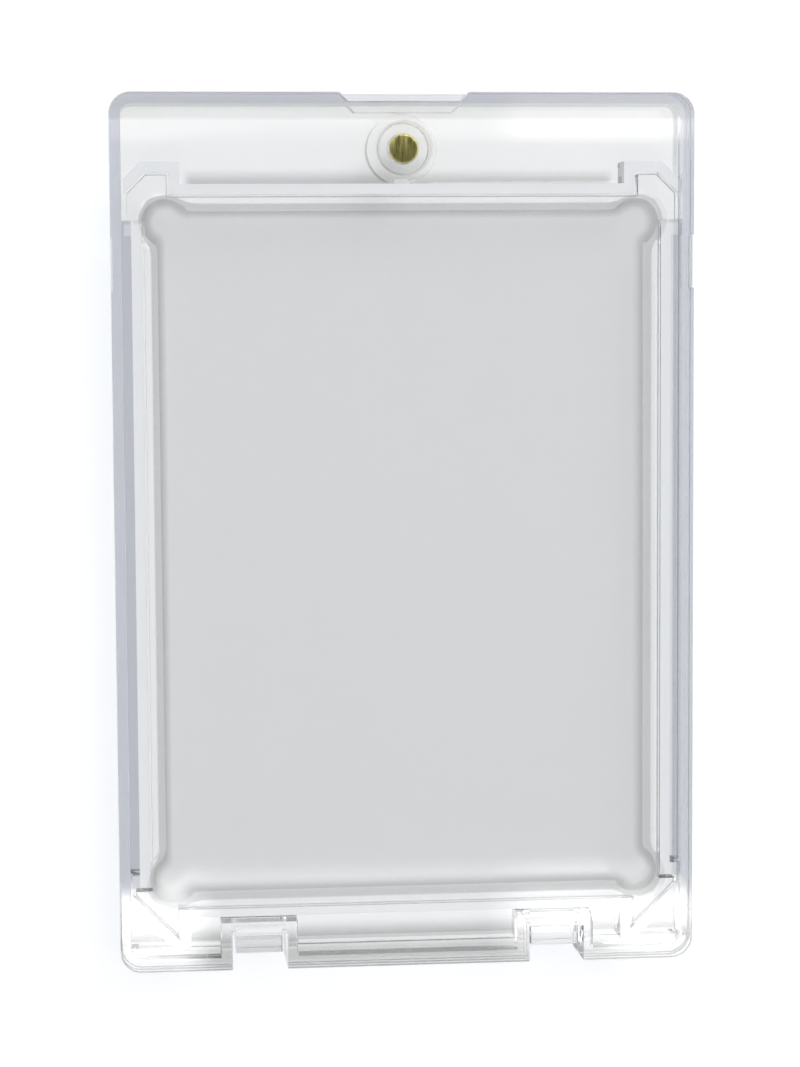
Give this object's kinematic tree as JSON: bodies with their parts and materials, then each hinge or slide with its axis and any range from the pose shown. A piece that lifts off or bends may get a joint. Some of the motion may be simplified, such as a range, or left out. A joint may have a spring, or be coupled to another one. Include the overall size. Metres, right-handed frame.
{
  "type": "trading card display case",
  "caption": "Clear flat display case for a trading card, hinged along its bottom edge and held shut by magnets",
  "frame": {"origin": "Middle of the flat back, on the surface that the closed case lies on", "axes": "X is the width, +Y runs along the length to the magnets, +Z is the thickness and points out of the front"},
  "size_m": [0.078, 0.1174, 0.009],
  "materials": {
    "clear_back": "clear polished moulded polystyrene",
    "clear_front": "clear polished moulded polystyrene",
    "gold_plate": "gold plated magnet, finely brushed"
  },
  "bodies": {
    "back": {"back_half": "clear_back", "back_magnet": "gold_plate"},
    "front": {"front_half": "clear_front", "front_magnet": "gold_plate"}
  },
  "joints": [
    {"name": "lid_hinge", "type": "hinge", "parent": "back", "child": "front", "pos_m": [0, -0.05875, 0.0045], "axis": [1, 0, 0], "range_deg": [0, 55]}
  ]
}
